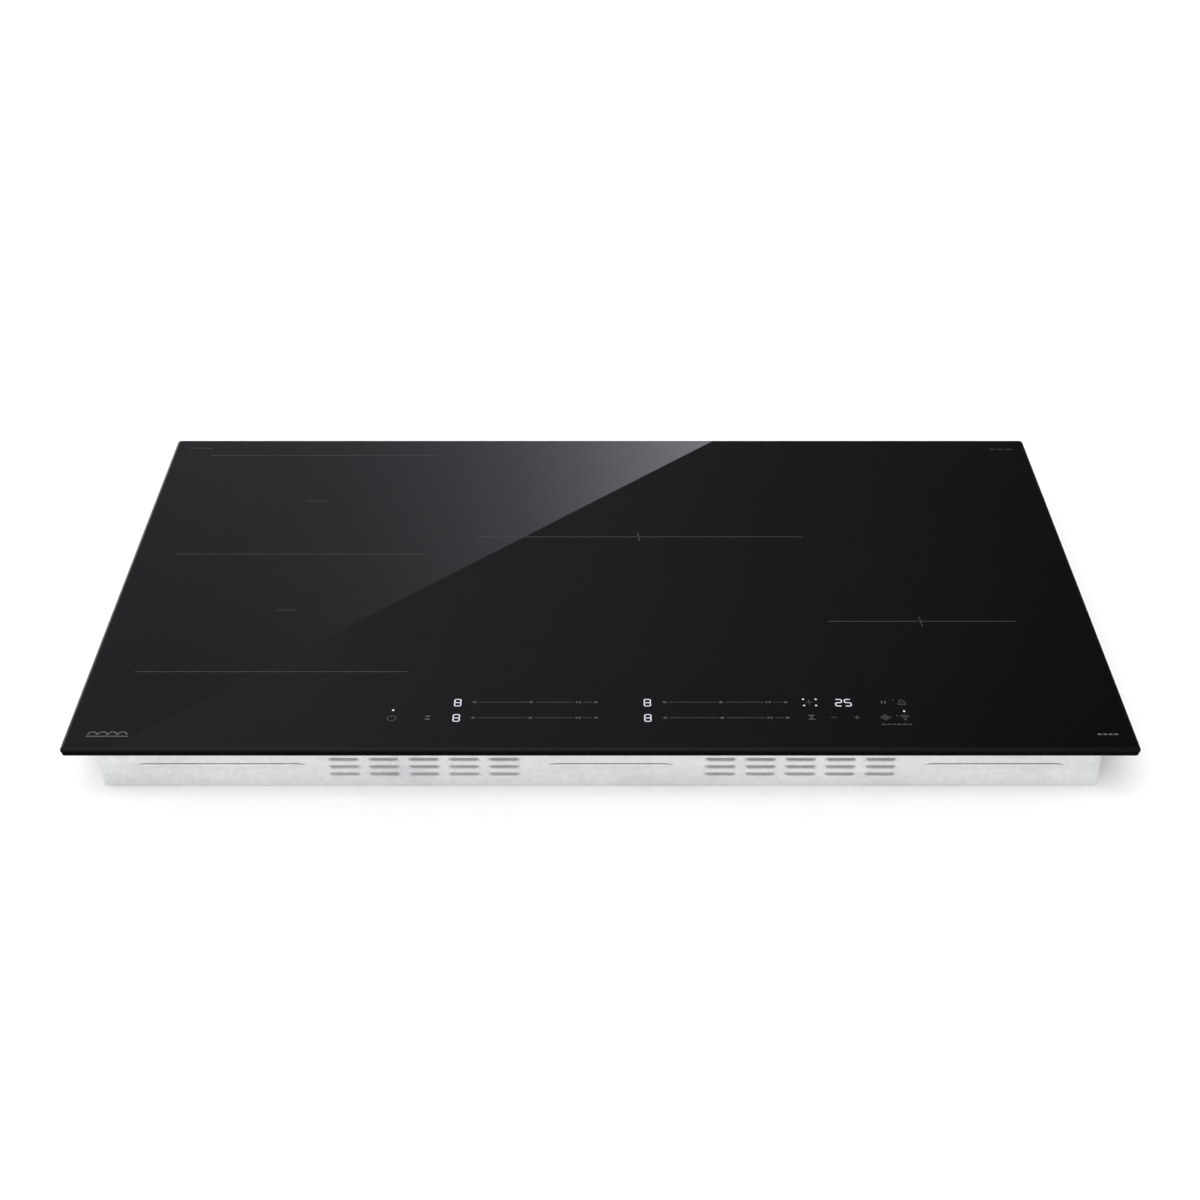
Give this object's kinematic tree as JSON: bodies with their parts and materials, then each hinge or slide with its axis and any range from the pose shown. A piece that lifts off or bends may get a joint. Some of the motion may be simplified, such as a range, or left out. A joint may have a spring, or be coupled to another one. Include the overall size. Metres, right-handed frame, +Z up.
{
  "type": "induction cooktop",
  "caption": "Built-in induction cooktop: wide black glass on a shallow steel casing, with a flexible zone, a large centre zone, a small zone, slider controls, fans and swing-out clamps.",
  "frame": {"origin": "under the middle of the glass, at the bottom of the feet", "axes": "+X to the right along the glass's width, +Y to the back, +Z up; the controls are at the front, towards -Y"},
  "size_m": [0.9, 0.52, 0.058],
  "materials": {
    "glass_ceramic": "polished black glass-ceramic, opaque, with fine light-grey printed marks",
    "foam_tape": "closed-cell foam tape",
    "silicone": "black silicone bead",
    "frame_steel": "black powder coat",
    "zinc_steel": "bright zinc plate",
    "galvanised_steel": "galvanised sheet with a fine spangle",
    "spring_steel": "zinc-plated spring steel",
    "rubber": "matt black",
    "black_plastic": "fine-grained black nylon",
    "light_plastic": "satin off-white",
    "grey_plastic": "satin grey",
    "green_board": "solder-masked board",
    "aluminium": "mill finish",
    "copper": "enamelled litz wire",
    "mica_board": "pressed mica board",
    "ferrite": "sintered dark grey",
    "red_silicone": "moulded silicone",
    "ceramic_fibre": "white fibre mat",
    "sensor_ceramic": "white fired ceramic",
    "wire_sleeve": "silicone-sleeved wire",
    "brass": "plain"
  },
  "bodies": {
    "hob": {"glass_top": "glass_ceramic", "worktop_seal": "foam_tape", "silicone_bond": "silicone", "glass_frame": "frame_steel", "casing_screws": "zinc_steel", "base_tray": "galvanised_steel", "connection_plate": "galvanised_steel", "tray_feet": "rubber", "fan_grilles": "black_plastic", "coil_plate": "aluminium", "plate_posts": "zinc_steel", "flex_front_coil": "copper", "flex_rear_coil": "copper", "centre_coil": "copper", "right_coil": "copper", "flex_front_former": "mica_board", "flex_rear_former": "mica_board", "centre_former": "mica_board", "right_former": "mica_board", "ferrite_bars": "ferrite", "coil_buffers": "red_silicone", "insulation_mats": "ceramic_fibre", "temperature_sensors": "sensor_ceramic", "internal_wiring": "wire_sleeve", "ui_carrier": "black_plastic", "ui_board": "green_board", "led_displays": "light_plastic", "touch_pads": "foam_tape", "board_carriers": "light_plastic", "filter_board": "green_board", "filter_choke": "copper", "capacitors": "grey_plastic", "power_board_left": "green_board", "power_board_right": "green_board", "heatsink_left": "aluminium", "heatsink_right": "aluminium", "power_transistors": "black_plastic", "radio_module": "zinc_steel", "fan_left_housing": "black_plastic", "fan_right_housing": "black_plastic", "fan_left_motor": "copper", "fan_right_motor": "copper", "terminal_housing": "black_plastic", "terminal_block": "light_plastic", "terminal_screws": "brass", "cover_hinge_pin": "zinc_steel", "cable_bush": "rubber", "earth_stud": "brass", "clamp_screws": "zinc_steel"},
    "fan_left_rotor": {"fan_left_impeller": "black_plastic"},
    "fan_right_rotor": {"fan_right_impeller": "black_plastic"},
    "terminal_lid": {"terminal_cover": "black_plastic"},
    "nut_front_left": {"clamp_nut_front_left": "zinc_steel"},
    "arm_front_left": {"clamp_arm_front_left": "spring_steel"},
    "nut_front_right": {"clamp_nut_front_right": "zinc_steel"},
    "arm_front_right": {"clamp_arm_front_right": "spring_steel"},
    "nut_rear_left": {"clamp_nut_rear_left": "zinc_steel"},
    "arm_rear_left": {"clamp_arm_rear_left": "spring_steel"},
    "nut_rear_right": {"clamp_nut_rear_right": "zinc_steel"},
    "arm_rear_right": {"clamp_arm_rear_right": "spring_steel"}
  },
  "joints": [
    {"name": "fan_left_spin", "type": "hinge", "parent": "hob", "child": "fan_left_rotor", "pos_m": [-0.124, 0.182, 0.02], "axis": [0, 0, 1], "continuous": true},
    {"name": "fan_right_spin", "type": "hinge", "parent": "hob", "child": "fan_right_rotor", "pos_m": [0.196, 0.182, 0.02], "axis": [0, 0, 1], "continuous": true},
    {"name": "clamp_lift_front_left", "type": "slide", "parent": "hob", "child": "nut_front_left", "axis": [0, 0, 1], "range_m": [0, 0.017]},
    {"name": "clamp_lift_front_right", "type": "slide", "parent": "hob", "child": "nut_front_right", "axis": [0, 0, 1], "range_m": [0, 0.017]},
    {"name": "clamp_lift_rear_left", "type": "slide", "parent": "hob", "child": "nut_rear_left", "axis": [0, 0, 1], "range_m": [0, 0.017]},
    {"name": "clamp_lift_rear_right", "type": "slide", "parent": "hob", "child": "nut_rear_right", "axis": [0, 0, 1], "range_m": [0, 0.017]},
    {"name": "clamp_swing_front_left", "type": "hinge", "parent": "nut_front_left", "child": "arm_front_left", "pos_m": [-0.417, -0.203, 0.013], "axis": [0, 0, 1], "range_deg": [0, 90]},
    {"name": "clamp_swing_front_right", "type": "hinge", "parent": "nut_front_right", "child": "arm_front_right", "pos_m": [0.417, -0.203, 0.013], "axis": [0, 0, -1], "range_deg": [0, 90]},
    {"name": "clamp_swing_rear_left", "type": "hinge", "parent": "nut_rear_left", "child": "arm_rear_left", "pos_m": [-0.417, 0.203, 0.013], "axis": [0, 0, -1], "range_deg": [0, 90]},
    {"name": "clamp_swing_rear_right", "type": "hinge", "parent": "nut_rear_right", "child": "arm_rear_right", "pos_m": [0.417, 0.203, 0.013], "axis": [0, 0, 1], "range_deg": [0, 90]},
    {"name": "cover_hinge", "type": "hinge", "parent": "hob", "child": "terminal_lid", "pos_m": [-0.351, 0.2346, 0.0366], "axis": [1, 0, 0], "range_deg": [0, 95]}
  ]
}
